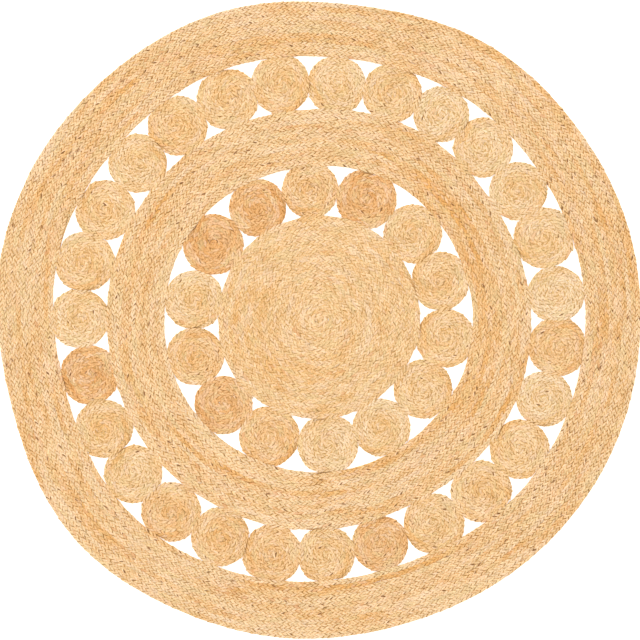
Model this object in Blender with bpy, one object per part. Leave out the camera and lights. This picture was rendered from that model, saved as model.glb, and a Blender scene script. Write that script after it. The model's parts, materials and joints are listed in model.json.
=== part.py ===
"""A round jute rug, 1.5 m across: coils and rings of one flat three-strand braid, sewn edge to edge.

From the middle outwards there are a centre coil, fourteen small coils, a band, twenty-seven small
coils and a border, which all lie flat on z = 0. A row of braid is a rib in the top face. Coils press
flat against what they touch, and the three-cornered gaps between them stay open.

Lengths are metres. A bearing is in degrees, counter-clockwise from +X, seen from above.
"""

from collections import namedtuple
from math import atan2, cos, hypot, inf, radians, sin

import bmesh
import bpy

# The braid
RIB_HEIGHT = 0.0080  # the top of a row, above the floor
GROOVE_HEIGHT = 0.0058  # the join between two rows, and a piece's rim
JOIN_GAP = 0.0003  # between neighbouring pieces
SHARP_ANGLE = radians(20)  # ribs and rims are crisper than this, and round sides are smooth

# Rows and steps of each piece
RING_ROWS = 12  # in the band and in the border, a rib for each row
CENTRE_TURNS = 21  # in the centre coil, a rib for each turn
CENTRE_FULL_RIBS = 8  # ribs of the centre coil with all its steps, before they halve
COIL_RIBS = 3  # in a small coil, a rib for each two of its six turns
COIL_FULL_RIBS = 1  # ribs of a small coil with all its steps, before they halve
COIL_STEPS = 20  # points round a small coil
CENTRE_STEPS = 3  # points round the centre coil for each of the fourteen coils round it
RING_STEPS = 2  # points round the band and border for each of the twenty-seven coils between them

# An edge that runs round the rug. Slow waves make it uneven: each has so many crests in a turn, a
# height above the mean radius, and the bearing of one of its crests.
Wave = namedtuple("Wave", "crests height bearing")
Edge = namedtuple("Edge", "radius waves")

CENTRE_RIM = Edge(
    0.2357,
    (Wave(1, 0.0068, 119), Wave(2, 0.0023, 54), Wave(3, 0.0010, 102), Wave(5, 0.0011, 67)),
)
BAND_INSIDE = Edge(
    0.3584,
    (Wave(1, 0.0051, 145), Wave(2, 0.0023, 24), Wave(4, 0.0012, 64), Wave(5, 0.0014, 63)),
)
BAND_OUTSIDE = Edge(
    0.4925,
    (
        Wave(1, 0.0050, 158),
        Wave(2, 0.0026, 22),
        Wave(3, 0.0026, 106),
        Wave(4, 0.0028, 67),
        Wave(5, 0.0014, 59),
        Wave(7, 0.0013, 13),
    ),
)
BORDER_INSIDE = Edge(
    0.6178,
    (
        Wave(1, 0.0060, 152),
        Wave(2, 0.0041, 16),
        Wave(3, 0.0050, 118),
        Wave(4, 0.0035, 56),
        Wave(5, 0.0020, 27),
        Wave(6, 0.0017, 49),
        Wave(7, 0.0023, 11),
    ),
)
BORDER_OUTSIDE = Edge(
    0.7493,
    (
        Wave(1, 0.0060, 161),
        Wave(2, 0.0044, 18),
        Wave(3, 0.0041, 2),
        Wave(4, 0.0041, 51),
        Wave(5, 0.0009, 21),
        Wave(6, 0.0024, 46),
        Wave(7, 0.0028, 10),
        Wave(9, 0.0012, 21),
    ),
)

# The small coils: where each one's middle lies, its radius before it is pressed against its
# neighbours, and its shade of jute
Coil = namedtuple("Coil", "bearing reach radius shade")

INNER_COILS = (
    Coil(18.0, 0.294, 0.0685, "natural"),
    Coil(42.9, 0.295, 0.0682, "natural"),
    Coil(69.0, 0.302, 0.0704, "amber"),
    Coil(94.3, 0.304, 0.0659, "golden"),
    Coil(119.0, 0.299, 0.0672, "amber"),
    Coil(144.7, 0.305, 0.0707, "amber"),
    Coil(171.0, 0.297, 0.0692, "pale"),
    Coil(196.2, 0.303, 0.0673, "golden"),
    Coil(221.3, 0.300, 0.0682, "amber"),
    Coil(246.4, 0.295, 0.0702, "golden"),
    Coil(273.7, 0.290, 0.0708, "pale"),
    Coil(299.7, 0.289, 0.0676, "pale"),
    Coil(326.2, 0.289, 0.0689, "natural"),
    Coil(351.7, 0.295, 0.0687, "natural"),
)
OUTER_COILS = (
    Coil(6.3, 0.553, 0.0663, "pale"),
    Coil(20.1, 0.556, 0.0709, "pale"),
    Coil(33.0, 0.551, 0.0682, "pale"),
    Coil(46.6, 0.553, 0.0700, "pale"),
    Coil(59.5, 0.556, 0.0650, "pale"),
    Coil(72.4, 0.555, 0.0693, "natural"),
    Coil(86.0, 0.549, 0.0684, "pale"),
    Coil(99.5, 0.557, 0.0693, "natural"),
    Coil(112.7, 0.558, 0.0716, "natural"),
    Coil(126.2, 0.561, 0.0698, "natural"),
    Coil(139.3, 0.560, 0.0687, "pale"),
    Coil(152.9, 0.562, 0.0700, "natural"),
    Coil(166.1, 0.565, 0.0700, "natural"),
    Coil(179.6, 0.560, 0.0693, "pale"),
    Coil(193.4, 0.552, 0.0688, "amber"),
    Coil(206.7, 0.564, 0.0678, "natural"),
    Coil(219.5, 0.564, 0.0681, "pale"),
    Coil(232.2, 0.566, 0.0695, "golden"),
    Coil(245.3, 0.556, 0.0685, "golden"),
    Coil(258.4, 0.557, 0.0690, "golden"),
    Coil(271.5, 0.547, 0.0674, "natural"),
    Coil(285.1, 0.539, 0.0655, "amber"),
    Coil(299.2, 0.544, 0.0709, "natural"),
    Coil(313.3, 0.548, 0.0718, "natural"),
    Coil(327.1, 0.554, 0.0694, "natural"),
    Coil(340.6, 0.554, 0.0653, "pale"),
    Coil(353.6, 0.557, 0.0690, "golden"),
)

# Colours of dry jute, as display red, green and blue from 0 to 1
SHADES = {
    "pale": (0.94, 0.79, 0.60),
    "natural": (0.94, 0.77, 0.57),
    "golden": (0.93, 0.75, 0.54),
    "amber": (0.91, 0.71, 0.48),
}
JUTE_ROUGHNESS = 0.9


# Plane shapes


def point_at(bearing, distance):
    """The point at a distance from the origin, on a bearing."""
    turn = radians(bearing)
    return distance * cos(turn), distance * sin(turn)


def edge_radius(edge, bearing):
    """How far an edge lies from the rug's middle on one bearing."""
    lift = sum(w.height * cos(w.crests * radians(bearing - w.bearing)) for w in edge.waves)
    return edge.radius + lift


def edge_outline(edge, bearings):
    """The polygon that follows an edge, with a corner on each bearing."""
    return [point_at(bearing, edge_radius(edge, bearing)) for bearing in bearings]


def bearings_between(coils, steps):
    """The bearings of a ring's corners: one on each coil, and the others evenly between two coils."""
    bearings = []
    for coil, after in zip(coils, coils[1:] + coils[:1]):
        span = (after.bearing - coil.bearing) % 360
        bearings += [coil.bearing + span * step / steps for step in range(steps)]
    return bearings


def distance_to_outline(start, bearing, outline):
    """How far a ray from start runs before it meets an outline, or inf if it misses."""
    along = point_at(bearing, 1.0)
    nearest = inf
    for a, b in zip(outline, outline[1:] + outline[:1]):
        side = (b[0] - a[0], b[1] - a[1])
        to_a = (a[0] - start[0], a[1] - start[1])
        across = along[0] * side[1] - along[1] * side[0]
        if across == 0:
            continue
        distance = (to_a[0] * side[1] - to_a[1] * side[0]) / across
        share = (to_a[0] * along[1] - to_a[1] * along[0]) / across
        if distance > 0 and 0 <= share <= 1:
            nearest = min(nearest, distance)
    return nearest


def distance_to_join(coil, neighbour, bearing):
    """How far a ray from a coil's middle runs to its flat join with a neighbour, or inf if it misses.

    The join divides the space between the two middles in the ratio of their radii.
    """
    x, y = point_at(coil.bearing, coil.reach)
    to_x, to_y = point_at(neighbour.bearing, neighbour.reach)
    apart = hypot(to_x - x, to_y - y)
    towards = atan2(to_y - y, to_x - x)
    facing = cos(radians(bearing) - towards)
    if facing <= 0:
        return inf
    share = coil.radius / (coil.radius + neighbour.radius)
    return (apart * share - JOIN_GAP / 2) / facing


def coil_outline(coil, neighbours, rings):
    """A small coil's outline about its own middle, with +X away from the middle of the rug."""
    middle = point_at(coil.bearing, coil.reach)
    outline = []
    for step in range(COIL_STEPS):
        turn = 360 * step / COIL_STEPS
        bearing = coil.bearing + turn
        limits = [distance_to_join(coil, other, bearing) for other in neighbours]
        limits += [distance_to_outline(middle, bearing, ring) - JOIN_GAP for ring in rings]
        outline.append(point_at(turn, min(coil.radius, *limits)))
    return outline


# Solids


def add_loop(mesh, outline, height, scale=1.0):
    """A closed row of points on an outline, which may be shrunk towards its own middle."""
    return [mesh.verts.new((x * scale, y * scale, height)) for x, y in outline]


def join_loops(mesh, loop, following):
    """Four-sided faces from one loop to the next, which has as many points."""
    for i in range(len(loop)):
        mesh.faces.new((loop[i - 1], loop[i], following[i], following[i - 1]))


def join_to_half(mesh, loop, half):
    """Three-sided faces from one loop to the next, which has half as many points."""
    for i in range(len(half)):
        before, middle, after = loop[2 * i - 2], loop[2 * i - 1], loop[2 * i]
        mesh.faces.new((before, middle, half[i - 1]))
        mesh.faces.new((middle, half[i], half[i - 1]))
        mesh.faces.new((middle, after, half[i]))


def disc_mesh(outline, ribs, full_ribs):
    """A flat coil: an underside, a rim, and ribs that follow the outline in to the middle.

    After full_ribs ribs, which are the longest, only every second point is kept.
    """
    mesh = bmesh.new()
    foot = add_loop(mesh, outline, 0.0)
    mesh.faces.new(reversed(foot))
    last = add_loop(mesh, outline, GROOVE_HEIGHT)
    join_loops(mesh, foot, last)
    for rib in range(ribs):
        join = join_loops
        if rib == full_ribs:
            outline = outline[::2]
            join = join_to_half
        crest = add_loop(mesh, outline, RIB_HEIGHT, (ribs - rib - 0.5) / ribs)
        join(mesh, last, crest)
        if rib < ribs - 1:
            last = add_loop(mesh, outline, GROOVE_HEIGHT, (ribs - rib - 1) / ribs)
            join_loops(mesh, crest, last)
    eye = mesh.verts.new((0.0, 0.0, GROOVE_HEIGHT))
    for i in range(len(crest)):
        mesh.faces.new((crest[i - 1], crest[i], eye))
    return mesh


def ring_mesh(inside, outside, rows):
    """A flat ring between two outlines, with a rib on each of its rows."""

    def loop_at(share, height):
        """The loop that lies a share of the way in from the outside."""
        points = [
            (x + (in_x - x) * share, y + (in_y - y) * share)
            for (x, y), (in_x, in_y) in zip(outside, inside)
        ]
        return add_loop(mesh, points, height)

    mesh = bmesh.new()
    loops = [loop_at(0, 0.0), loop_at(0, GROOVE_HEIGHT)]
    for row in range(rows):
        loops += [
            loop_at((row + 0.5) / rows, RIB_HEIGHT),
            loop_at((row + 1) / rows, GROOVE_HEIGHT),
        ]
    loops.append(loop_at(1, 0.0))
    for loop, following in zip(loops, loops[1:] + loops[:1]):
        join_loops(mesh, loop, following)
    return mesh


# Objects


def display_to_linear(value):
    """A display colour's channel as the light that it stands for."""
    return value / 12.92 if value <= 0.04045 else ((value + 0.055) / 1.055) ** 2.4


def jute(name, shade):
    """Dry braided jute in one of its shades."""
    material = bpy.data.materials.new(name)
    material.use_nodes = True
    finish = material.node_tree.nodes["Principled BSDF"].inputs
    finish["Base Color"].default_value = (*map(display_to_linear, SHADES[shade]), 1.0)
    finish["Roughness"].default_value = JUTE_ROUGHNESS
    finish["Metallic"].default_value = 0.0
    return material


def add_piece(name, solid, shade, rug, middle=(0.0, 0.0), bearing=0.0):
    """One piece of the rug as an object on the rug's empty."""
    data = bpy.data.meshes.new(name)
    solid.to_mesh(data)
    solid.free()
    data.shade_smooth()
    data.set_sharp_from_angle(angle=SHARP_ANGLE)
    data.materials.append(jute(f"{name}_jute", shade))
    piece = bpy.data.objects.new(name, data)
    piece.location = (*middle, 0.0)
    piece.rotation_euler.z = radians(bearing)
    piece.parent = rug
    bpy.context.scene.collection.objects.link(piece)


def add_centre_coil(rim, rug):
    """The centre coil, whose turns close in on the middle of its own rim."""
    shift = CENTRE_RIM.waves[0]
    middle = point_at(shift.bearing, shift.height)
    outline = [(x - middle[0], y - middle[1]) for x, y in rim]
    solid = disc_mesh(outline, CENTRE_TURNS, CENTRE_FULL_RIBS)
    add_piece("centre_coil", solid, "natural", rug, middle)


def add_ring(name, inside, outside, rug):
    """The band or the border."""
    add_piece(name, ring_mesh(inside, outside, RING_ROWS), "natural", rug)


def add_small_coils(name, coils, rings, rug):
    """A circle of small coils, each pressed against the two beside it and the rings round them."""
    for i, coil in enumerate(coils):
        neighbours = (coils[i - 1], coils[(i + 1) % len(coils)])
        outline = coil_outline(coil, neighbours, rings)
        add_piece(
            f"{name}_{i + 1:02d}",
            disc_mesh(outline, COIL_RIBS, COIL_FULL_RIBS),
            coil.shade,
            rug,
            point_at(coil.bearing, coil.reach),
            coil.bearing,
        )


def add_rug():
    """The whole rug, with the middle of its outline over the origin."""
    near_inner = bearings_between(INNER_COILS, CENTRE_STEPS)
    near_outer = bearings_between(OUTER_COILS, RING_STEPS)
    centre_rim = edge_outline(CENTRE_RIM, near_inner)
    band_inside = edge_outline(BAND_INSIDE, near_outer)
    band_outside = edge_outline(BAND_OUTSIDE, near_outer)
    border_inside = edge_outline(BORDER_INSIDE, near_outer)
    border_outside = edge_outline(BORDER_OUTSIDE, near_outer)

    rug = bpy.data.objects.new("rug", None)
    xs, ys = zip(*border_outside)
    rug.location = (-(min(xs) + max(xs)) / 2, -(min(ys) + max(ys)) / 2, 0.0)
    bpy.context.scene.collection.objects.link(rug)

    add_centre_coil(centre_rim, rug)
    add_small_coils("inner_coil", INNER_COILS, (centre_rim, band_inside), rug)
    add_ring("band", band_inside, band_outside, rug)
    add_small_coils("outer_coil", OUTER_COILS, (band_outside, border_inside), rug)
    add_ring("border", border_inside, border_outside, rug)


for old in list(bpy.data.objects):
    bpy.data.objects.remove(old)
add_rug()
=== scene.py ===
"""The looks of a round braided jute rug, laid out as a Blender add-on and run as a script.

Each piece of the rug is one braid that follows its own path, turn after turn. Its core is a
flattened tube along the path. On the core lie the strands, one after another from either side, as
the face of a flat three-strand braid shows them. Geometry Nodes lay both along the path.

Lengths are metres. A bearing is in degrees, counter-clockwise from +X, seen from above.
"""

import json
from collections import namedtuple
from math import cos, pi, radians, sin

import bmesh
import bpy
import numpy as np
from bpy.props import FloatProperty, FloatVectorProperty, IntProperty, PointerProperty
from mathutils.kdtree import KDTree
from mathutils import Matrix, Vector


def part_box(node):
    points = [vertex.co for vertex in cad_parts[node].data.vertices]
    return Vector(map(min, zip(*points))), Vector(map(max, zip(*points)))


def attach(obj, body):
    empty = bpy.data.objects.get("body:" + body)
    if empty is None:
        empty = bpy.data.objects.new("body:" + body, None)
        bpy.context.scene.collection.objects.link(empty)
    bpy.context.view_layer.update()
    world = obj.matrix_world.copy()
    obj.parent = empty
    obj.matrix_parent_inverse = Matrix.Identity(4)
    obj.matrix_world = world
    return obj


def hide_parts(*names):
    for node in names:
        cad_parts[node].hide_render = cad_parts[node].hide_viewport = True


bl_info = {
    "name": "Braided jute rug",
    "version": (1, 0, 0),
    "blender": (4, 5, 0),
    "location": "3D View > Sidebar > Jute rug",
    "description": "Dresses a round rug of sewn coils and rings in braided jute",
    "category": "Object",
}

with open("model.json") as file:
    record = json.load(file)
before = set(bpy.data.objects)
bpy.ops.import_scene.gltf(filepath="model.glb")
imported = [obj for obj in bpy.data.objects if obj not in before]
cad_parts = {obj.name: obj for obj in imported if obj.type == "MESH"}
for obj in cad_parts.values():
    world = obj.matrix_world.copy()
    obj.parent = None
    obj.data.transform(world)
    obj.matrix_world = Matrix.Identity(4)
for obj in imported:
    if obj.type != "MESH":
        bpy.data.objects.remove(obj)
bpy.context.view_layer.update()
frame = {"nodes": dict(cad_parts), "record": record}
SLOTS = {part["node"]: part["material_slot"] for part in frame["record"]["subparts"]}
TOP_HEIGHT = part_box("border")[1].z

CENTRE_COIL = "centre_coil"
BAND = "band"
BORDER = "border"
INNER_COILS = sorted(name for name in frame["nodes"] if name.startswith("inner_coil"))
OUTER_COILS = sorted(name for name in frame["nodes"] if name.startswith("outer_coil"))

RINGS = (BAND, BORDER)
# A piece's place in this order decides where its braid begins, and its random numbers
MAKING_ORDER = (CENTRE_COIL, *INNER_COILS, BAND, *OUTER_COILS, BORDER)

FLOOR_TOLERANCE = 0.0001  # a corner this low is on a solid's underside
GOLDEN_ANGLE = 137.5  # degrees from where one piece's braid begins to where the next one's does
SEEDS_APART = 10  # between the seeds of one piece's strands and the next one's
WANDER = 0.0007  # how far a row strays sideways

# Each kind of braid: its path's steps in degrees, the share of a turn in which it moves in beside
# the turn before, its core's steps in metres, and in how many pieces its strands are. Then its
# jute: how much it varies, how fast along the rows and across them, and how much warmer than its
# slot's it is.
Kind = namedtuple("Kind", "step move core_step parts variety along across warmth")
CENTRE_KIND = Kind(3.00, 0.12, 0.008, 1, 0.60, 1.0, 6.0, 0.00)
COIL_KIND = Kind(5.00, 0.20, 0.005, 1, 0.70, 1.0, 6.0, 0.00)
BAND_KIND = Kind(0.75, 0.04, 0.016, 1, 1.08, 0.6, 9.0, -0.24)
BORDER_KIND = Kind(0.75, 0.04, 0.018, 2, 1.08, 0.6, 9.0, -0.24)

# How far in from a piece's outline its first row begins. The strands stand out over a free edge,
# and they meet the neighbour's where two pieces touch.
FREE_INSET, JOIN_INSET = 0.0011, 0.0
TOUCHING, APART = 0.0006, 0.0016  # pieces touch up to this clearance, and are free from this one on
EDGE_STEP = 0.0005  # between the points of an outline with which clearances are measured

# The core's section: across in widths of the row, and up as a share of the core's height
CORE_SECTION = ((-0.56, 0.88), (-0.45, 0.0), (0.45, 0.0), (0.56, 0.88), (0.44, 1.0), (-0.44, 1.0))
# The grain that the fibres follow on the core: for each metre along it from a start, and for each
# of the section's corners
CoreGrain = namedtuple("CoreGrain", "along start side")
# Its values along are 1 and more, so the whole core takes the painted shade of the creases in the
# jute's material
CORE_GRAIN = CoreGrain(60.0, 1.0, 0.4)

# A strand that shows on the braid's left side, in widths of the row: it comes up round the row's
# edge at its outer end, lies on the strand before it of the other side, and goes down under the
# next one. A station lies so far forwards and out from the middle of the row, with half its
# breadth along the row, and its heights from its hind edge over its back to its front edge.
Station = namedtuple("Station", "forwards out breadth heights")
OUTER_END = (-0.54, 0.61, 0.38)
STRAND_STATIONS = (
    Station(-0.44, 0.52, 0.53, (0.51, 0.61, 0.61, 0.51)),
    Station(-0.12, 0.27, 0.54, (0.57, 0.69, 0.69, 0.57)),
    Station(0.17, 0.04, 0.52, (0.61, 0.69, 0.64, 0.52)),
)
INNER_END = (0.46, -0.18, 0.49)
STATION_PLACES = (-1.0, -0.5, 0.5, 1.0)  # where a station's heights are, in half breadths
LEVEL = 0.62  # the height that stays as it is when the relief changes, in widths of the row

# How unevenly the strands lie: how far each one is shifted to any side in widths of the row, how
# far it is turned in radians, its smallest and largest size, and how the spacing surges
SHIFT = (0.09, 0.06, 0.03)
SWAY = (0.08, 0.05, 0.08)
SMALLEST, LARGEST = (1.00, 0.97, 0.95), (1.16, 1.05, 1.06)
SURGES, SURGE = 25.0, 0.6  # for each metre, and how far in spacings
SURGE_SEED = 7.3  # from where one seed's surges begin to where the next one's do

# Where a stretch of the braid is of a warmer jute, or of a paler one: the rows in from the rim, the
# bearings, and how much warmer
Streak = namedtuple("Streak", "rows bearings warmth")
STREAKS = {
    "border": (
        Streak((0.3, 2.2), (5, 62), 0.7),
        Streak((2.8, 4.2), (125, 182), 0.7),
        Streak((4.4, 6.2), (-30, 24), 0.8),
        Streak((4.0, 5.0), (98, 160), 0.5),
        Streak((6.8, 8.8), (-5, 60), 0.6),
        Streak((1.9, 3.1), (178, 225), -0.45),
        Streak((7.9, 9.1), (135, 200), -0.45),
        Streak((9.9, 11.1), (205, 262), -0.5),
        Streak((7.4, 9.0), (78, 152), 0.8),
        Streak((8.6, 9.8), (-12, 18), 0.8),
        Streak((9.4, 10.6), (140, 180), 0.9),
        Streak((9.8, 11.0), (252, 297), 1.4),
        Streak((3.0, 6.0), (185, 225), 0.4),
    ),
    "band": (
        Streak((6.0, 11.5), (-35, 55), 0.9),
        Streak((7.0, 9.0), (35, 98), 0.5),
        Streak((9.8, 12.0), (278, 328), 1.2),
        Streak((0.9, 2.1), (105, 250), -0.45),
        Streak((11.0, 12.0), (115, 285), -0.55),
        Streak((9.9, 11.1), (160, 218), -0.45),
        Streak((4.9, 6.1), (222, 262), -0.5),
        Streak((2.6, 4.0), (138, 208), 0.9),
        Streak((4.6, 5.6), (113, 136), 0.7),
        Streak((6.0, 8.0), (165, 285), 0.5),
        Streak((0.8, 2.4), (286, 345), 0.6),
    ),
    "centre_coil": (Streak((5.0, 12.0), (145, 265), 0.4), Streak((3.0, 4.0), (160, 240), 0.4)),
}
# How many steps warmer than its slot's jute a coil is at its rim and at its eye
CoilTone = namedtuple("CoilTone", "rim eye")
EVEN_TONE = CoilTone(0, 0)
COIL_TONES = {
    "inner_coil_01": CoilTone(0, 2),
    "inner_coil_02": CoilTone(0, 1),
    "inner_coil_03": CoilTone(0, 1),
    "inner_coil_04": CoilTone(0, 1),
    "inner_coil_05": CoilTone(0, 1),
    "inner_coil_06": CoilTone(0, 2),
    "inner_coil_07": CoilTone(0, 3),
    "inner_coil_08": CoilTone(0, 2),
    "inner_coil_09": CoilTone(-1, 0),
    "inner_coil_10": CoilTone(1, 0),
    "inner_coil_11": CoilTone(0, 1),
    "inner_coil_12": CoilTone(0, 3),
    "inner_coil_13": CoilTone(1, -1),
    "inner_coil_14": CoilTone(1, 0),
    "outer_coil_01": CoilTone(-1, 0),
    "outer_coil_02": CoilTone(1, 2),
    "outer_coil_03": CoilTone(0, 3),
    "outer_coil_04": CoilTone(1, 0),
    "outer_coil_06": CoilTone(0, 1),
    "outer_coil_07": CoilTone(1, 1),
    "outer_coil_08": CoilTone(1, 1),
    "outer_coil_09": CoilTone(0, 2),
    "outer_coil_10": CoilTone(1, 2),
    "outer_coil_11": CoilTone(1, 2),
    "outer_coil_12": CoilTone(0, 2),
    "outer_coil_13": CoilTone(0, 2),
    "outer_coil_14": CoilTone(0, 2),
    "outer_coil_15": CoilTone(0, 1),
    "outer_coil_16": CoilTone(0, 3),
    "outer_coil_17": CoilTone(2, 0),
    "outer_coil_18": CoilTone(0, 2),
    "outer_coil_19": CoilTone(-1, 3),
    "outer_coil_20": CoilTone(0, 1),
    "outer_coil_21": CoilTone(1, 0),
    "outer_coil_22": CoilTone(-1, -2),
    "outer_coil_23": CoilTone(1, 0),
    "outer_coil_24": CoilTone(0, 2),
    "outer_coil_25": CoilTone(1, -1),
    "outer_coil_27": CoilTone(1, 0),
}
TONE_STEP = 0.3
STREAK_EDGE = 8.0  # degrees in which a streak fades at its ends
ROW_EDGE = 0.35  # rows in which it fades at its sides


class Wire:
    """A node's output, in expressions that add Math nodes."""

    def __init__(self, tree, socket):
        self.tree = tree
        self.socket = socket

    def math(self, operation, *values, clamp=False):
        settings = {"operation": operation, "use_clamp": clamp}
        return self.tree.add("ShaderNodeMath", settings, values)

    def __add__(self, other):
        return self.math("ADD", self, other)

    def __sub__(self, other):
        return self.math("SUBTRACT", self, other)

    def __rsub__(self, other):
        return self.math("SUBTRACT", other, self)

    def __mul__(self, other):
        return self.math("MULTIPLY", self, other)

    def __truediv__(self, other):
        return self.math("DIVIDE", self, other)

    __radd__ = __add__
    __rmul__ = __mul__

    def above(self, edge, softness):
        """0 below an edge and 1 above it, with an even step between."""
        return self.math("DIVIDE", self - (edge - softness / 2), softness, clamp=True)


class Tree:
    """A node tree, built by adding nodes with their settings and inputs."""

    def __init__(self, tree):
        self.tree = tree

    def place(self, kind, settings=None, inputs=()):
        """Adds a node, sets what it is, and then fills its inputs by place or by name."""
        node = self.tree.nodes.new(kind)
        for name, value in (settings or {}).items():
            setattr(node, name, value)
        pairs = inputs.items() if isinstance(inputs, dict) else enumerate(inputs)
        for key, value in pairs:
            if isinstance(value, Wire):
                self.tree.links.new(value.socket, node.inputs[key])
            else:
                node.inputs[key].default_value = value
        return node

    def add(self, kind, settings=None, inputs=(), output=0):
        """Adds a node and gives the wire that leaves it."""
        return Wire(self, self.place(kind, settings, inputs).outputs[output])


# Paths


def underside_corners(node):
    """The corners of a solid's flat underside, as x and y."""
    corners = {
        (round(v.co.x, 6), round(v.co.y, 6))
        for v in frame["nodes"][node].data.vertices
        if v.co.z < FLOOR_TOLERANCE
    }
    return np.array(sorted(corners))


class Outline:
    """A smooth closed line through corners round a middle, as a radius for each direction."""

    def __init__(self, corners, middle):
        away = corners - middle
        turns = np.arctan2(away[:, 1], away[:, 0]) % (2 * pi)
        order = np.argsort(turns)
        turns, radii = turns[order], np.hypot(*away[order].T)
        self.middle = middle
        # Two corners more before the first and after the last, so that the line closes
        self.turns = np.concatenate((turns[-2:] - 2 * pi, turns, turns[:2] + 2 * pi))
        self.radii = np.concatenate((radii[-2:], radii, radii[:2]))

    def radius(self, turn):
        """The radius in each direction in radians, on a curve through the four corners round it."""
        turn = turn % (2 * pi)
        last = np.searchsorted(self.turns, turn, side="right") - 1
        at = [self.turns[last + i] for i in (-1, 0, 1, 2)]
        before, start, end, beyond = (self.radii[last + i] for i in (-1, 0, 1, 2))
        share = (turn - at[1]) / (at[2] - at[1])
        slope_in = (end - before) * (at[2] - at[1]) / (at[2] - at[0])
        slope_out = (beyond - start) * (at[2] - at[1]) / (at[3] - at[1])
        square, cube = share**2, share**3
        return (
            (2 * cube - 3 * square + 1) * start
            + (cube - 2 * square + share) * slope_in
            + (3 * square - 2 * cube) * end
            + (cube - square) * slope_out
        )

    def point(self, turn):
        """The points on the line in each direction."""
        radius = self.radius(turn)
        x, y = radius * np.cos(turn), radius * np.sin(turn)
        return np.stack((self.middle[0] + x, self.middle[1] + y), axis=-1)


def piece_outlines(node):
    """A piece's rim, and the rim of its hole or None."""
    corners = underside_corners(node)
    middle = corners.mean(axis=0)
    if node not in RINGS:
        return Outline(corners, middle), None
    reach = np.hypot(*(corners - middle).T)
    halfway = (reach.min() + reach.max()) / 2
    return Outline(corners[reach > halfway], middle), Outline(corners[reach < halfway], middle)


class Neighbours:
    """Close points on all the outlines, to find how near a piece is to the next one."""

    def __init__(self):
        points, self.owners = [], []
        for node in frame["nodes"]:
            for outline in piece_outlines(node):
                if outline is not None:
                    count = int(2 * pi * outline.radii.mean() / EDGE_STEP)
                    points.extend(outline.point(np.arange(count) * 2 * pi / count))
                    self.owners.extend([node] * count)
        self.tree = KDTree(len(points))
        for i, (x, y) in enumerate(points):
            self.tree.insert((x, y, 0.0), i)
        self.tree.balance()

    def inset(self, node, outline, turn):
        """How far in from a piece's outline its first row begins in one direction."""
        x, y = outline.point(turn)
        near = self.tree.find_range((x, y, 0.0), APART)
        clearance = min((away for _, i, away in near if self.owners[i] != node), default=APART)
        free = min(max((clearance - TOUCHING) / (APART - TOUCHING), 0.0), 1.0)
        return JOIN_INSET + (FREE_INSET - JOIN_INSET) * free


def row_place(turns, rows, move):
    """Where a braid lies after so many turns, in rows in from the rim, and how wide it is there.

    It starts from nothing at the rim. At the start of each turn it moves in by one row, and it runs
    out to nothing after its last whole turn.
    """
    done, share = divmod(turns, 1)
    moved = min(share / move, 1.0)
    moved = moved * moved * (3 - 2 * moved)
    if done == 0:
        return moved / 2, moved
    if done >= rows:
        return rows - (1 - moved) / 2, 1 - moved
    return done + moved - 0.5, 1.0


def step_up(value, start, end, edge):
    """1 between a start and an end, and 0 beyond them, with an even fade half inside."""
    inside = min(value - start, end - value)
    return min(max(inside / edge + 0.5, 0.0), 1.0)


def tone_warmth(node, share):
    """How much warmer a coil's jute is at a share of the way from its rim to its eye."""
    tone = COIL_TONES.get(node, EVEN_TONE)
    return TONE_STEP * (tone.rim + (tone.eye - tone.rim) * share)


def streak_warmth(node, place, bearing):
    """How much warmer than the rest of its piece the jute is, from the streaks that meet there."""
    warmth = 0.0
    for streak in STREAKS.get(node, ()):
        start, end = streak.bearings
        across = step_up(place, *streak.rows, ROW_EDGE)
        along = step_up((bearing - start) % 360, 0, end - start, STREAK_EDGE)
        warmth += across * along * streak.warmth
    return warmth


class Braid:
    """The path of a piece's braid from the rim inwards, as points with what the braid is there."""

    def __init__(self, node, kind, row_width, start, random, neighbours):
        rim, hole = piece_outlines(node)
        breadth = rim.radii.mean() - (hole.radii.mean() if hole else 0.0)
        rows = round(breadth / row_width)
        turns = np.arange(0, rows + kind.move, kind.step / 360)
        self.variety = np.full(len(turns), kind.variety)
        self.points, self.widths, self.lies, self.warmth = [], [], [], []
        bends = np.interp(turns, turns[::2], random.normal(0, WANDER, len(turns[::2])))
        for done, bend in zip(turns, bends):
            place, width = row_place(done, rows, kind.move)
            turn = radians(start) + 2 * pi * done
            outside = rim.radius(turn) - neighbours.inset(node, rim, turn)
            inside = hole.radius(turn) + neighbours.inset(node, hole, turn) if hole else 0.0
            row = (outside - inside) / rows
            freedom = min(max(min(place, rows - place) - 0.5, 0.0), 1.0)
            radius = outside - place * row + bend * freedom
            x, y = radius * cos(turn), radius * sin(turn)
            self.points.append((rim.middle[0] + x, rim.middle[1] + y, 0.0))
            self.widths.append(width * row)
            self.lies.extend((x * kind.along, y * kind.along, radius * kind.across))
            streak = streak_warmth(node, place, start + 360 * done)
            self.warmth.append(kind.warmth + streak + tone_warmth(node, place / rows))

    def path(self, name):
        """The braid's path as a mesh of edges."""
        data = bpy.data.meshes.new(name)
        data.from_pydata(self.points, [(i, i + 1) for i in range(len(self.points) - 1)], [])
        data.attributes.new("width", "FLOAT", "POINT").data.foreach_set("value", self.widths)
        data.attributes.new("warmth", "FLOAT", "POINT").data.foreach_set("value", self.warmth)
        data.attributes.new("variety", "FLOAT", "POINT").data.foreach_set("value", self.variety)
        data.attributes.new("lie", "FLOAT_VECTOR", "POINT").data.foreach_set("vector", self.lies)
        path = bpy.data.objects.new(name, data)
        bpy.context.scene.collection.objects.link(path)
        return path


# Shapes that are laid along a path


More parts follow.
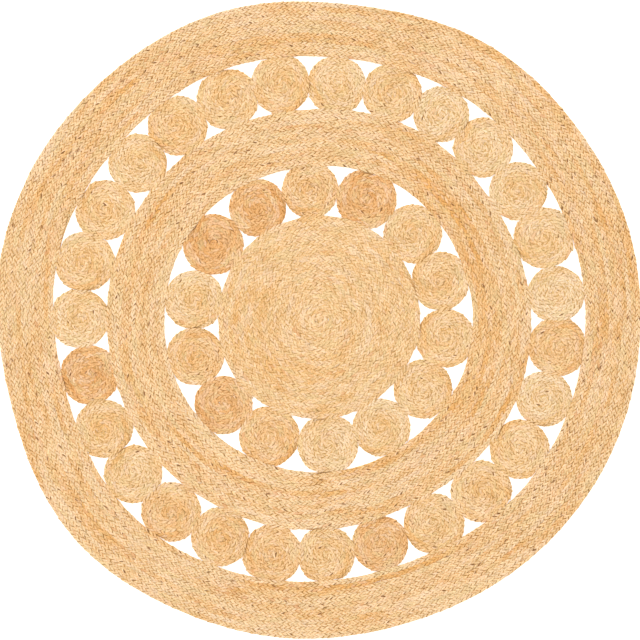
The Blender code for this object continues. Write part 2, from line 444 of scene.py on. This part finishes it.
def core_section():
    """The core's section as a closed line, one row wide."""
    data = bpy.data.meshes.new("core_section")
    count = len(CORE_SECTION)
    points = [(across, -up, 0.0) for across, up in reversed(CORE_SECTION)]
    data.from_pydata(points, [(i, (i + 1) % count) for i in range(count)], [])
    data.attributes.new("side", "FLOAT", "POINT").data.foreach_set("value", range(count))
    return bpy.data.objects.new("core_section", data)


def strand_shape(name, side):
    """One strand's visible stretch for a row of width 1, on the left (side 1) or the right (-1)."""
    mesh = bmesh.new()
    grain = mesh.verts.layers.float_vector.new("grain")

    def corner(forwards, out, up, along, across):
        point = mesh.verts.new((forwards, out * side, up))
        point[grain] = (along, across, 0)
        return point

    loops = [[corner(*OUTER_END, -1, 0)]]
    for i, station in enumerate(STRAND_STATIONS):
        along = 2 * (i + 1) / (len(STRAND_STATIONS) + 1) - 1
        loops.append(
            [
                corner(station.forwards + place * station.breadth, station.out, up, along, place)
                for place, up in zip(STATION_PLACES, station.heights)
            ]
        )
    loops.append([corner(*INNER_END, 1, 0)])
    for loop, following in zip(loops, loops[1:]):
        for i in range(len(STATION_PLACES)):
            if len(loop) == 1:
                corners = (loop[0], following[i - 1], following[i])
            elif len(following) == 1:
                corners = (loop[i], loop[i - 1], following[0])
            else:
                corners = (loop[i], loop[i - 1], following[i - 1], following[i])
            mesh.faces.new(corners)
    bmesh.ops.recalc_face_normals(mesh, faces=mesh.faces)
    data = bpy.data.meshes.new(name)
    mesh.to_mesh(data)
    mesh.free()
    data.shade_smooth()
    return bpy.data.objects.new(name, data)


# Geometry Nodes


def new_nodes(name, inputs):
    """A geometry tree with named inputs, and the wires that leave them."""
    group = bpy.data.node_groups.new(name, "GeometryNodeTree")
    group.interface.new_socket("Geometry", in_out="INPUT", socket_type="NodeSocketGeometry")
    for label, kind in inputs:
        group.interface.new_socket(label, in_out="INPUT", socket_type=f"NodeSocket{kind}")
    group.interface.new_socket("Geometry", in_out="OUTPUT", socket_type="NodeSocketGeometry")
    tree = Tree(group)
    start = tree.place("NodeGroupInput")
    wires = {socket.name: Wire(tree, socket) for socket in start.outputs if socket.name}
    return group, tree, wires


def stored(tree, geometry, name, value, kind="FLOAT"):
    """The geometry with a value stored at each of its points."""
    return tree.add(
        "GeometryNodeStoreNamedAttribute",
        {"data_type": kind, "domain": "POINT"},
        {"Geometry": geometry, "Name": name, "Value": value},
    )


def named(tree, name, kind="FLOAT"):
    """A value that is stored at each point."""
    return tree.add("GeometryNodeInputNamedAttribute", {"data_type": kind}, {"Name": name})


def scaled(tree, vector, factor):
    """A vector times a number."""
    return tree.add("ShaderNodeVectorMath", {"operation": "SCALE"}, {0: vector, "Scale": factor})


def random_vector(tree, lowest, highest, seed):
    """A random vector for each point, between two corners."""
    return tree.add(
        "FunctionNodeRandomValue",
        {"data_type": "FLOAT_VECTOR"},
        {0: lowest, 1: highest, "Seed": seed},
    )


def laid_path(tree, wires, spacing):
    """The path as a curve with even points, and how far along it each point is, as "run"."""
    curve = tree.add("GeometryNodeMeshToCurve", None, {"Mesh": wires["Geometry"]})
    even = tree.add(
        "GeometryNodeResampleCurve", {"mode": "LENGTH"}, {"Curve": curve, "Length": spacing}
    )
    return stored(tree, even, "run", tree.add("GeometryNodeSplineParameter", output="Length"))


def core_nodes():
    """Lays the core's section along a path."""
    group, tree, wires = new_nodes(
        "braid_core",
        (("Step", "Float"), ("Height", "Float"), ("Section", "Object"), ("Material", "Material")),
    )
    curve = laid_path(tree, wires, wires["Step"])
    upright = tree.add("GeometryNodeSetCurveNormal", {"mode": "Z_UP"}, {"Curve": curve})
    section = tree.add("GeometryNodeObjectInfo", None, {"Object": wires["Section"]}, "Geometry")
    loop = tree.add("GeometryNodeMeshToCurve", None, {"Mesh": section})
    core = tree.add(
        "GeometryNodeCurveToMesh",
        None,
        {"Curve": upright, "Profile Curve": loop, "Scale": named(tree, "width"), "Fill Caps": True},
    )
    flatten = tree.add("ShaderNodeCombineXYZ", None, (1.0, 1.0, wires["Height"]))
    place = tree.add("GeometryNodeInputPosition")
    flat = tree.add("ShaderNodeVectorMath", {"operation": "MULTIPLY"}, (place, flatten))
    core = tree.add("GeometryNodeSetPosition", None, {"Geometry": core, "Position": flat})
    # These values put all of the core in the painted shade of the creases
    along = named(tree, "run") * CORE_GRAIN.along + CORE_GRAIN.start
    across = named(tree, "side") * CORE_GRAIN.side
    grain = tree.add("ShaderNodeCombineXYZ", None, (along, across, 0.0))
    finish_nodes(tree, stored(tree, core, "grain", grain, "FLOAT_VECTOR"), wires)
    return group


def strand_points(tree, wires):
    """Points along the path where strands lie, unevenly, each with its tone and direction."""
    points = laid_path(tree, wires, wires["Spacing"] / 2)
    seed = wires["Seed"]
    tone = tree.add("FunctionNodeRandomValue", {"data_type": "FLOAT"}, {"Seed": seed}, output=1)
    forwards = tree.add("GeometryNodeInputTangent")
    points = stored(tree, points, "tone", tone)
    points = stored(tree, points, "forwards", forwards, "FLOAT_VECTOR")
    width = named(tree, "width")
    shift = random_vector(tree, [-reach for reach in SHIFT], SHIFT, seed + 3)
    shift = scaled(tree, shift, width * wires["Unevenness"])
    lift = tree.add("ShaderNodeCombineXYZ", None, {"Z": (1.0 - wires["Relief"]) * LEVEL * width})
    run = tree.add("GeometryNodeSplineParameter", output="Length")
    surge = tree.add(
        "ShaderNodeTexNoise",
        {"noise_dimensions": "1D"},
        {"W": run * SURGES + seed * SURGE_SEED, "Scale": 1.0, "Detail": 1.0},
    )
    surge = scaled(tree, forwards, (surge - 0.5) * SURGE * wires["Spacing"])
    offset = tree.add("ShaderNodeVectorMath", {"operation": "ADD"}, (shift, surge))
    offset = tree.add("ShaderNodeVectorMath", {"operation": "ADD"}, (offset, lift))
    return tree.add("GeometryNodeSetPosition", None, {"Geometry": points, "Offset": offset})


def strand_turn(tree, wires):
    """How a strand is turned: along the braid, and swayed a little."""
    forwards = tree.add(
        "FunctionNodeAlignRotationToVector",
        {"axis": "X", "pivot_axis": "Z"},
        {"Vector": named(tree, "forwards", "FLOAT_VECTOR")},
    )
    sway = random_vector(tree, [-reach for reach in SWAY], SWAY, wires["Seed"] + 1)
    sway = scaled(tree, sway, wires["Unevenness"])
    return tree.add(
        "FunctionNodeRotateRotation",
        {"rotation_space": "LOCAL"},
        (forwards, tree.add("FunctionNodeEulerToRotation", None, (sway,))),
    )


def strand_size(tree, wires):
    """A strand's scale: the row's width, a little uneven, and the relief upwards."""
    size = random_vector(tree, SMALLEST, LARGEST, wires["Seed"] + 2)
    size = scaled(tree, size, named(tree, "width"))
    relief = tree.add("ShaderNodeCombineXYZ", None, (1.0, 1.0, wires["Relief"]))
    return tree.add("ShaderNodeVectorMath", {"operation": "MULTIPLY"}, (size, relief))


def strand_nodes():
    """Lays strands along a path, one from the left and one from the right in turn."""
    group, tree, wires = new_nodes(
        "braid_strands",
        (
            ("Spacing", "Float"),
            ("Relief", "Float"),
            ("Start", "Float"),
            ("End", "Float"),
            ("Left strand", "Object"),
            ("Right strand", "Object"),
            ("Unevenness", "Float"),
            ("Seed", "Int"),
            ("Material", "Material"),
        ),
    )
    points = strand_points(tree, wires)
    sides = tree.place("GeometryNodeJoinGeometry")
    for label in ("Right strand", "Left strand"):
        values = {"Object": wires[label], "As Instance": True}
        strand = tree.add("GeometryNodeObjectInfo", None, values, "Geometry")
        tree.tree.links.new(strand.socket, sides.inputs[0])
    index = tree.add("GeometryNodeInputIndex")
    side = tree.add("FunctionNodeIntegerMath", {"operation": "MODULO"}, (index, 2))
    share = tree.add("GeometryNodeSplineParameter", output="Factor")
    begun = {"A": share, "B": wires["Start"]}
    going = {"A": share, "B": wires["End"]}
    inside = (
        tree.add("FunctionNodeCompare", {"operation": "GREATER_EQUAL"}, begun),
        tree.add("FunctionNodeCompare", {"operation": "LESS_THAN"}, going),
    )
    strands = tree.add(
        "GeometryNodeInstanceOnPoints",
        None,
        {
            "Points": points,
            "Selection": tree.add("FunctionNodeBooleanMath", {"operation": "AND"}, inside),
            "Instance": Wire(tree, sides.outputs[0]),
            "Pick Instance": True,
            "Instance Index": side,
            "Rotation": strand_turn(tree, wires),
            "Scale": strand_size(tree, wires),
        },
    )
    finish_nodes(tree, tree.add("GeometryNodeRealizeInstances", None, (strands,)), wires)
    return group


def finish_nodes(tree, geometry, wires):
    """Sets the material and ends the tree."""
    dressed = tree.add(
        "GeometryNodeSetMaterial", None, {"Geometry": geometry, "Material": wires["Material"]}
    )
    tree.place("NodeGroupOutput", None, (dressed,))


def laid_along(path, name, group, values):
    """What a tree lays along a path, as a plain mesh object at the origin."""
    modifier = path.modifiers.new(name, "NODES")
    modifier.node_group = group
    for item in group.interface.items_tree:
        if item.in_out == "INPUT" and item.name in values:
            modifier[item.identifier] = values[item.name]
    path.update_tag()
    graph = bpy.context.evaluated_depsgraph_get()
    data = bpy.data.meshes.new_from_object(path.evaluated_get(graph), depsgraph=graph)
    path.modifiers.remove(modifier)
    data.name = name
    piece = bpy.data.objects.new(name, data)
    bpy.context.scene.collection.objects.link(piece)
    return piece


# Materials

DEPTH = (0.945, 0.776, 0.528)  # what a warm streak leaves of the jute's red, green and blue
CREASE_SHADE = (0.94, 0.79, 0.36, 1)  # painted shade: what the shade in the creases between strands leaves of it
PALEST, DEEPEST = -0.5, 1.0  # between which the jute's colour changes, in warm streaks

PLAIN_DEPTH, PLAIN_LIGHT = 0.34, 0.985  # the depth and brightness of plain jute
WARMTH_DEPTH, CREASE_SHADE_DEPTH = 0.45, 0.55  # how much deeper a streak's warmth makes it, and the painted shade of a crease
DRIFT_DEPTH, STREAK_DEPTH = 0.9, 1.5  # how much noise over the piece and along the braid changes it
# How much deeper and brighter a strand's tone, its fibres and the speckle make the jute
Effect = namedtuple("Effect", "depth light")
TONE = Effect(-0.2, 0.14)
FIBRES = Effect(-0.7, 0.9)
SPECKLE = Effect(-0.5, 0.65)

# Noise on a strand, from -1 to 1 along it and across it, and set apart from the next strand's
STRANDS_APART = 90.0
FIBRES_ALONG, FIBRES_ACROSS = 2.2, 7.0
BARK_SCALE, BARK_APART = 0.8, 5.0

# Slow noise along the braid: its scale for each metre, and where it starts
Noise = namedtuple("Noise", "scale start")
WARM_NOISE, ROSE_NOISE, OLIVE_NOISE = Noise(6.0, 11.0), Noise(9.0, 47.0), Noise(11.0, 83.0)
# What shows only above a value of its noise: that value, how soft its edge is, and how strong it is
Mask = namedtuple("Mask", "edge softness strength")
# Painted shade near the ends and sides of each strand, and on the core, where the creases between
# strands lie
CREASE_SHADE_MASK = Mask(0.75, 0.5, 0.5)
ROSE_STRETCHES, OLIVE_STRETCHES = Mask(0.60, 0.14, 0.35), Mask(0.62, 0.12, 0.5)
ROSE_STRANDS, OLIVE_STRANDS = Mask(0.86, 0.2, 0.4), Mask(0.14, 0.2, 0.4)
RUST_STRANDS, RUST_PLACES = Mask(0.96, 0.03, 1.0), Mask(0.5, 0.2, 0.6)
BARK_CELLS, BARK_ROUNDS = Mask(0.962, 0.002, 0.9), Mask(0.45, 0.15, 1.0)
HUE_SPREAD = 37.0  # a strand's hue is the fraction in this many times its tone
DRIFT_SCALE, SPECKLE_SCALE = 6.0, 300.0
# How much less bark clean jute has, and how much more varied jute and the drift's high places have
CLEAN_BARK, VARIED_BARK, DRIFTING_BARK = 0.25, 0.015, 0.03
FIBRE_RELIEF, FIBRE_HEIGHT = 0.5, 0.0005  # the strength and height of the fibres' bump
ROUGHNESS, SHINE = 0.85, 0.2


def mixed(tree, share, first, second):
    """One colour where share is 0 and another where it is 1."""
    settings = {"data_type": "RGBA", "clamp_factor": True}
    return tree.add("ShaderNodeMix", settings, {0: share, 6: first, 7: second}, output=2)


def piece_value(tree, name, output="Fac"):
    """A named attribute of the piece, as a value or a vector."""
    return tree.add("ShaderNodeAttribute", {"attribute_name": name}, output=output)


def noise(tree, place, scale, detail):
    """Noise in three dimensions."""
    return tree.add("ShaderNodeTexNoise", None, {"Vector": place, "Scale": scale, "Detail": detail})


def streaks(tree, run, kind):
    """Slow changes along the braid."""
    return tree.add(
        "ShaderNodeTexNoise",
        {"noise_dimensions": "1D"},
        {"W": run * kind.scale + kind.start, "Scale": 1.0, "Detail": 2.0, "Roughness": 0.6},
    )


def deeper(colour, share):
    """A colour with more of its own hue: share is 1 for warm streaks and below 0 for pale ones."""
    return (*(channel * ratio**share for channel, ratio in zip(colour, DEPTH)), 1)


def shown(value, mask):
    """How much of something shows for a value of its noise."""
    return value.above(mask.edge, mask.softness) * mask.strength


def strand_place(tree, along, across, tone):
    """A place on a strand for noise that each strand has its own of."""
    return tree.add("ShaderNodeCombineXYZ", None, (along, across, tone))


def with_hues(tree, colour, colours, run, tone):
    """The colour with pinkish and greenish stretches and single strands."""
    pinkish = shown(streaks(tree, run, ROSE_NOISE), ROSE_STRETCHES)
    colour = mixed(tree, pinkish, colour, colours.rose)
    greenish = shown(streaks(tree, run, OLIVE_NOISE), OLIVE_STRETCHES)
    colour = mixed(tree, greenish, colour, colours.olive)
    hue = tone.math("FRACT", tone * HUE_SPREAD)
    colour = mixed(tree, shown(hue, ROSE_STRANDS), colour, colours.rose)
    greenish = 1.0 - hue.above(OLIVE_STRANDS.edge, OLIVE_STRANDS.softness)
    return mixed(tree, greenish * OLIVE_STRANDS.strength, colour, colours.olive)


def bark_bits(tree, place, variety, drift):
    """Where bits of bark lie: in the middles of a few cells, fewer where the jute is clean."""
    bits = tree.place("ShaderNodeTexVoronoi", None, {"Vector": place, "Scale": 1.0})
    chance = tree.add("ShaderNodeSeparateXYZ", None, (Wire(tree, bits.outputs["Color"]),))
    clean = variety.math("MAXIMUM", COIL_KIND.variety - variety, 0.0)
    chance = chance - clean * CLEAN_BARK
    chance = chance + (variety - 1.0) * VARIED_BARK + (drift - 0.5) * DRIFTING_BARK
    cells = chance.above(BARK_CELLS.edge, BARK_CELLS.softness)
    away = Wire(tree, bits.outputs["Distance"])
    return cells * (1.0 - shown(away, BARK_ROUNDS)) * BARK_CELLS.strength


def jute_material(name, shade, colours):
    """Braided jute: streaks along the braid, a tone for each strand, fibres along strands, and
    painted shade in the creases.
    """
    material = bpy.data.materials.new(name)
    material.use_nodes = True
    tree = Tree(material.node_tree)
    run, tone, warmth, variety = (
        piece_value(tree, label) for label in ("run", "tone", "warmth", "variety")
    )
    run = run * (1.0 + COIL_KIND.variety - variety)
    split = tree.place("ShaderNodeSeparateXYZ", None, (piece_value(tree, "grain", "Vector"),))
    along, across = Wire(tree, split.outputs[0]), Wire(tree, split.outputs[1])
    apart = tone * STRANDS_APART
    fibre_place = strand_place(tree, along * FIBRES_ALONG, across * FIBRES_ACROSS, apart)
    fibres = noise(tree, fibre_place, 1.0, 3.0)
    drift = noise(tree, piece_value(tree, "lie", "Vector"), DRIFT_SCALE, 2.0)
    speckle = noise(tree, tree.add("ShaderNodeTexCoord", output="Object"), SPECKLE_SCALE, 1.0)

    # Painted shade: near a strand's ends and sides, and all over the core, the colour turns deeper
    # and darker where the creases between strands are shaded
    edge = across.math("MAXIMUM", across.math("ABSOLUTE", across), along.math("ABSOLUTE", along))
    crease_shade = edge.above(CREASE_SHADE_MASK.edge, CREASE_SHADE_MASK.softness)
    streak = streaks(tree, run, WARM_NOISE)
    change = ((drift - 0.5) * DRIFT_DEPTH + (streak - 0.5) * STREAK_DEPTH) * variety
    depth = PLAIN_DEPTH + change + warmth * WARMTH_DEPTH + crease_shade * CREASE_SHADE_DEPTH
    light = PLAIN_LIGHT
    for value, effect in ((tone, TONE), (fibres, FIBRES), (speckle, SPECKLE)):
        depth = depth + (value - 0.5) * effect.depth
        light = light + (value - 0.5) * effect.light

    colour = mixed(tree, depth, deeper(shade, PALEST), deeper(shade, DEEPEST))
    crease_shaded = [part * share for part, share in zip(shade, CREASE_SHADE)]
    colour = mixed(tree, crease_shade * CREASE_SHADE_MASK.strength, colour, crease_shaded)
    colour = with_hues(tree, colour, colours, run, tone)
    colour = scaled(tree, colour, light)
    rust = shown(tone, RUST_STRANDS) * shown(drift, RUST_PLACES)
    colour = mixed(tree, rust, colour, colours.rust)
    bark_place = strand_place(tree, along * BARK_SCALE, across * BARK_SCALE, apart + BARK_APART)
    colour = mixed(tree, bark_bits(tree, bark_place, variety, drift), colour, colours.fleck)
    relief = {"Strength": FIBRE_RELIEF, "Distance": FIBRE_HEIGHT, "Height": fibres}
    bump = tree.add("ShaderNodeBump", None, relief)

    finish = material.node_tree.nodes["Principled BSDF"].inputs
    material.node_tree.links.new(colour.socket, finish["Base Color"])
    material.node_tree.links.new(bump.socket, finish["Normal"])
    finish["Roughness"].default_value = ROUGHNESS
    finish["Specular IOR Level"].default_value = SHINE
    return material


# Properties


class JuteSizes(bpy.types.PropertyGroup):
    """The braid's sizes."""

    row_width: FloatProperty(
        name="Row width",
        description="Width of one row of braid, from which a piece gets its whole number of rows",
        default=0.0112,
        subtype="DISTANCE",
        unit="LENGTH",
    )
    strand_spacing: FloatProperty(
        name="Strand spacing",
        description="Distance along the braid between two strands of the same side",
        default=0.0112,
        subtype="DISTANCE",
        unit="LENGTH",
    )
    ring_relief: FloatProperty(
        name="Ring relief",
        description="How much the strands stand out on the rings",
        default=1.08,
        min=0.1,
    )
    coil_relief: FloatProperty(
        name="Coil relief",
        description="How much they stand out on the coils",
        default=0.5,
        min=0.1,
    )
    ring_core: FloatProperty(
        name="Ring core",
        description="The core's height in the rings, in widths of the row",
        default=0.53,
    )
    coil_core: FloatProperty(
        name="Coil core",
        description="The core's height in the coils, in widths of the row",
        default=0.575,
    )
    unevenness: FloatProperty(
        name="Unevenness", description="How unevenly the strands lie", default=1.0, min=0.0
    )
    seed: IntProperty(name="Seed", description="Changes how the strands vary", default=4)


def colour_property(name, description, default):
    """A colour that a user can change."""
    return FloatVectorProperty(
        name=name, description=description, default=default, subtype="COLOR", size=4, min=0, max=1
    )


class JuteColours(bpy.types.PropertyGroup):
    """The colours of the jute and of its streaks."""

    pale: colour_property("Pale", "Jute of the palest coils", (0.85, 0.58, 0.305, 1))
    natural: colour_property("Natural", "Jute of the rings and most coils", (0.84, 0.545, 0.262, 1))
    golden: colour_property("Golden", "Jute of the golden coils", (0.83, 0.51, 0.230, 1))
    amber: colour_property("Amber", "Jute of the darkest coils", (0.78, 0.425, 0.165, 1))
    rose: colour_property("Rose", "Pale pinkish streaks", (0.93, 0.68, 0.47, 1))
    olive: colour_property("Olive", "Greenish beige streaks", (0.80, 0.58, 0.29, 1))
    rust: colour_property("Rust", "Single reddish strands", (0.66, 0.30, 0.11, 1))
    fleck: colour_property("Fleck", "Dark bits of bark", (0.24, 0.095, 0.025, 1))


# Pieces


class JutePieces:
    """What the operators share: the shapes, trees and materials that all the pieces use."""

    def __init__(self, context):
        self.sizes = context.scene.jute_sizes
        self.colours = context.scene.jute_colours
        self.neighbours = Neighbours()
        self.section = core_section()
        self.strands = {"Left strand": strand_shape("strand_left", 1)}
        self.strands["Right strand"] = strand_shape("strand_right", -1)
        self.core_nodes = core_nodes()
        self.strand_nodes = strand_nodes()
        self.materials = {}

    def material(self, slot):
        """The material of a slot such as jute_pale, made the first time it is asked for."""
        if slot not in self.materials:
            shade = getattr(self.colours, slot.removeprefix("jute_"))
            self.materials[slot] = jute_material(slot, shade, self.colours)
        return self.materials[slot]

    def core(self, node, kind, path):
        """The braid's core, which takes the CAD solid's place."""
        values = {
            "Step": kind.core_step,
            "Height": self.sizes.ring_core if node in RINGS else self.sizes.coil_core,
            "Section": self.section,
            "Material": self.material(SLOTS[node]),
        }
        return laid_along(path, f"{node}_core", self.core_nodes, values)

    def strand_pieces(self, node, kind, number, path):
        """The braid's strands, in more than one piece where the braid is long."""
        values = {
            "Spacing": self.sizes.strand_spacing,
            "Relief": self.sizes.ring_relief if node in RINGS else self.sizes.coil_relief,
            "Unevenness": self.sizes.unevenness,
            "Seed": self.sizes.seed + SEEDS_APART * number,
            "Material": self.material(SLOTS[node]),
            **self.strands,
        }
        strands = []
        for i in range(kind.parts):
            values.update({"Start": i / kind.parts, "End": (i + 1) / kind.parts})
            name = f"{node}_strands" if kind.parts == 1 else f"{node}_strands_{i + 1}"
            strands.append(laid_along(path, name, self.strand_nodes, values))
        return strands

    def dress(self, node, kind):
        """One piece of the rug: a core and the strands on it."""
        number = MAKING_ORDER.index(node)
        random = np.random.default_rng(self.sizes.seed + number)
        start = number * GOLDEN_ANGLE
        braid = Braid(node, kind, self.sizes.row_width, start, random, self.neighbours)
        path = braid.path(f"{node}_path")
        core = self.core(node, kind, path)
        strands = self.strand_pieces(node, kind, number, path)
        bpy.data.objects.remove(path)
        for piece in (core, *strands):
            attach(piece, "root")
        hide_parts(node)
        area = underside_area(node)


def underside_area(node):
    """The area of a solid's flat underside."""
    data = frame["nodes"][node].data
    data.calc_loop_triangles()
    area = 0.0
    for triangle in data.loop_triangles:
        if all(data.vertices[i].co.z < FLOOR_TOLERANCE for i in triangle.vertices):
            area += triangle.area
    return area


shared = {}


def pieces(context):
    """The shared shapes, made once."""
    if "pieces" not in shared:
        shared["pieces"] = JutePieces(context)
    return shared["pieces"]


class JUTE_OT_centre_coil(bpy.types.Operator):
    """Braid the centre coil"""

    bl_idname = "jute_rug.centre_coil"
    bl_label = "Centre coil"

    def execute(self, context):
        pieces(context).dress(CENTRE_COIL, CENTRE_KIND)
        return {"FINISHED"}


class JUTE_OT_inner_coils(bpy.types.Operator):
    """Braid the small coils round the centre coil"""

    bl_idname = "jute_rug.inner_coils"
    bl_label = "Inner coils"

    def execute(self, context):
        for node in INNER_COILS:
            pieces(context).dress(node, COIL_KIND)
        return {"FINISHED"}


class JUTE_OT_band(bpy.types.Operator):
    """Braid the band between the two circles of coils"""

    bl_idname = "jute_rug.band"
    bl_label = "Band"

    def execute(self, context):
        pieces(context).dress(BAND, BAND_KIND)
        return {"FINISHED"}


class JUTE_OT_outer_coils(bpy.types.Operator):
    """Braid the small coils round the band"""

    bl_idname = "jute_rug.outer_coils"
    bl_label = "Outer coils"

    def execute(self, context):
        for node in OUTER_COILS:
            pieces(context).dress(node, COIL_KIND)
        return {"FINISHED"}


class JUTE_OT_border(bpy.types.Operator):
    """Braid the border"""

    bl_idname = "jute_rug.border"
    bl_label = "Border"

    def execute(self, context):
        pieces(context).dress(BORDER, BORDER_KIND)
        return {"FINISHED"}


# Stage

PHOTO_SIDE = 1.4897  # how much of the rug's top a side of the photo covers
PHOTO_CENTRE = (0.0022, -0.0003)  # the point of the rug in the photo's middle
LENS = 100  # millimetres
FLOOR_RADIUS, FLOOR_DROP, FLOOR_GLOW = 12, 0.0005, 0.5
SKY_LIGHT = 1.05
KEY_PLACE, KEY_WIDTH, KEY_POWER = (-6.0, 6.6, 7.8), 4.8, 315


def lay_floor(scene):
    """A plain white floor, just under the rug."""
    mesh = bmesh.new()
    bmesh.ops.create_circle(mesh, cap_ends=True, segments=96, radius=FLOOR_RADIUS)
    data = bpy.data.meshes.new("floor")
    mesh.to_mesh(data)
    mesh.free()
    paint = bpy.data.materials.new("floor")
    paint.use_nodes = True
    finish = paint.node_tree.nodes["Principled BSDF"].inputs
    finish["Base Color"].default_value = (1.0, 1.0, 1.0, 1)
    finish["Roughness"].default_value = 0.9
    finish["Emission Color"].default_value = (1, 1, 1, 1)
    finish["Emission Strength"].default_value = FLOOR_GLOW
    data.materials.append(paint)
    floor = bpy.data.objects.new("floor", data)
    floor.location.z = -FLOOR_DROP
    scene.collection.objects.link(floor)


def light_studio(scene):
    """Even light from all round, and one large soft light from behind on the left."""
    world = bpy.data.worlds.new("studio")
    world.use_nodes = True
    world.node_tree.nodes["Background"].inputs["Color"].default_value = (1, 1, 1, 1)
    world.node_tree.nodes["Background"].inputs["Strength"].default_value = SKY_LIGHT
    scene.world = world
    light = bpy.data.lights.new("key", "AREA")
    light.shape = "DISK"
    light.size = KEY_WIDTH
    light.energy = KEY_POWER
    key = bpy.data.objects.new("key", light)
    key.location = KEY_PLACE
    scene.collection.objects.link(key)
    target = bpy.data.objects.new("rug_middle", None)
    scene.collection.objects.link(target)
    key.constraints.new("TRACK_TO").target = target


def set_camera(scene):
    """The photo's camera, which looks straight down."""
    lens = bpy.data.cameras.new("camera")
    lens.lens = LENS
    camera = bpy.data.objects.new("camera", lens)
    camera.location = (*PHOTO_CENTRE, PHOTO_SIDE * lens.lens / lens.sensor_width + TOP_HEIGHT)
    scene.collection.objects.link(camera)
    scene.camera = camera
    scene.view_settings.view_transform = "Standard"


class JUTE_OT_stage(bpy.types.Operator):
    """Set the floor, the lights and the camera"""

    bl_idname = "jute_rug.stage"
    bl_label = "Stage"

    def execute(self, context):
        lay_floor(context.scene)
        light_studio(context.scene)
        set_camera(context.scene)
        return {"FINISHED"}


class JUTE_PT_rug(bpy.types.Panel):
    """The rug's steps and sizes"""

    bl_label = "Jute rug"
    bl_space_type = "VIEW_3D"
    bl_region_type = "UI"
    bl_category = "Jute rug"

    def draw(self, context):
        for operator in OPERATORS:
            self.layout.operator(operator.bl_idname)


OPERATORS = (
    JUTE_OT_centre_coil,
    JUTE_OT_inner_coils,
    JUTE_OT_band,
    JUTE_OT_outer_coils,
    JUTE_OT_border,
    JUTE_OT_stage,
)
CLASSES = (JuteSizes, JuteColours, *OPERATORS, JUTE_PT_rug)


def register():
    for item in CLASSES:
        bpy.utils.register_class(item)
    bpy.types.Scene.jute_sizes = PointerProperty(type=JuteSizes)
    bpy.types.Scene.jute_colours = PointerProperty(type=JuteColours)


def unregister():
    del bpy.types.Scene.jute_sizes
    del bpy.types.Scene.jute_colours
    for item in reversed(CLASSES):
        bpy.utils.unregister_class(item)


def main():
    register()
    bpy.ops.jute_rug.centre_coil()
    bpy.ops.jute_rug.inner_coils()
    bpy.ops.jute_rug.band()
    bpy.ops.jute_rug.outer_coils()
    bpy.ops.jute_rug.border()
    bpy.ops.jute_rug.stage()


if __name__ == "__main__":
    main()
